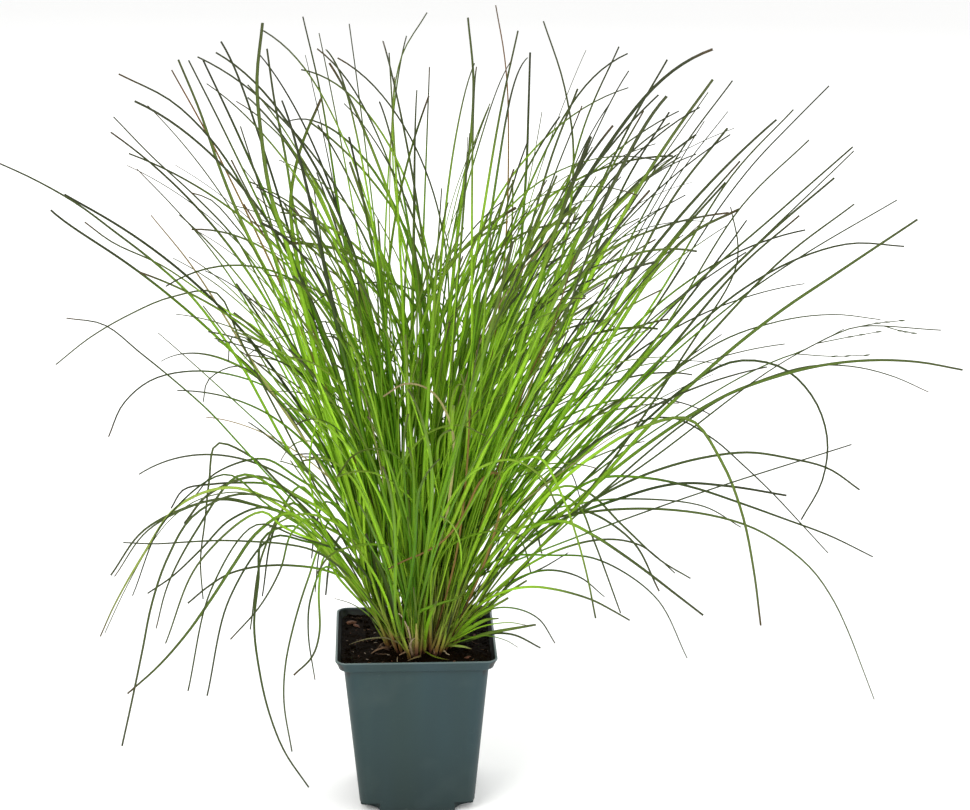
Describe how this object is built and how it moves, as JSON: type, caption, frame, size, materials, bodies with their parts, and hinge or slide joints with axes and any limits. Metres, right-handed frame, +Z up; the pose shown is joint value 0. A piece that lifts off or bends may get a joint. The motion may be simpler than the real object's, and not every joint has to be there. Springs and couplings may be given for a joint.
{
  "type": "potted ornamental grass",
  "caption": "Clump of fine arching ornamental grass rooted in peat in a square tapered plastic nursery pot, ready to stand on a patio or to be planted out.",
  "frame": {"origin": "middle of the pot's flat underside, on the ground", "axes": "+Z up, +X along the clump's widest spread to its right, +Y to its back"},
  "size_m": [0.5362, 0.3763, 0.4552],
  "materials": {
    "pot_plastic": "satin blue-grey polypropylene with fine vertical moulding streaks",
    "peat": "moist crumbly dark peat",
    "tiller_bases": "dull straw and brown sheaths",
    "leaf_green": "satin ribbed leaf, fresh green, dark at the tips",
    "tuft_green": "satin ribbed leaf, fresh green, dark at the tips"
  },
  "bodies": {
    "root": {"pot": "pot_plastic", "soil": "peat", "crown": "tiller_bases", "leaf_01": "leaf_green", "leaf_02": "leaf_green", "leaf_03": "leaf_green", "leaf_04": "leaf_green", "leaf_05": "leaf_green", "leaf_06": "leaf_green", "leaf_07": "leaf_green", "leaf_08": "leaf_green", "leaf_09": "leaf_green", "leaf_10": "leaf_green", "leaf_11": "leaf_green", "leaf_12": "leaf_green", "leaf_13": "leaf_green", "leaf_14": "leaf_green", "leaf_15": "leaf_green", "leaf_16": "leaf_green", "leaf_17": "leaf_green", "leaf_18": "leaf_green", "leaf_19": "leaf_green", "leaf_20": "leaf_green", "leaf_21": "leaf_green", "leaf_22": "leaf_green", "leaf_23": "leaf_green", "leaf_24": "leaf_green", "leaf_25": "leaf_green", "leaf_26": "leaf_green", "leaf_27": "leaf_green", "leaf_28": "leaf_green", "leaf_29": "leaf_green", "leaf_30": "leaf_green", "leaf_31": "leaf_green", "leaf_32": "leaf_green", "leaf_33": "leaf_green", "leaf_34": "leaf_green", "leaf_35": "leaf_green", "leaf_36": "leaf_green", "leaf_37": "leaf_green", "leaf_38": "leaf_green", "leaf_39": "leaf_green", "leaf_40": "leaf_green", "tuft_01": "tuft_green", "tuft_02": "tuft_green", "tuft_03": "tuft_green", "tuft_04": "tuft_green", "tuft_05": "tuft_green", "tuft_06": "tuft_green", "tuft_07": "tuft_green", "tuft_08": "tuft_green", "tuft_09": "tuft_green", "tuft_10": "tuft_green", "tuft_11": "tuft_green", "tuft_12": "tuft_green", "tuft_13": "tuft_green", "tuft_14": "tuft_green", "tuft_15": "tuft_green", "tuft_16": "tuft_green", "tuft_17": "tuft_green"}
  },
  "joints": []
}
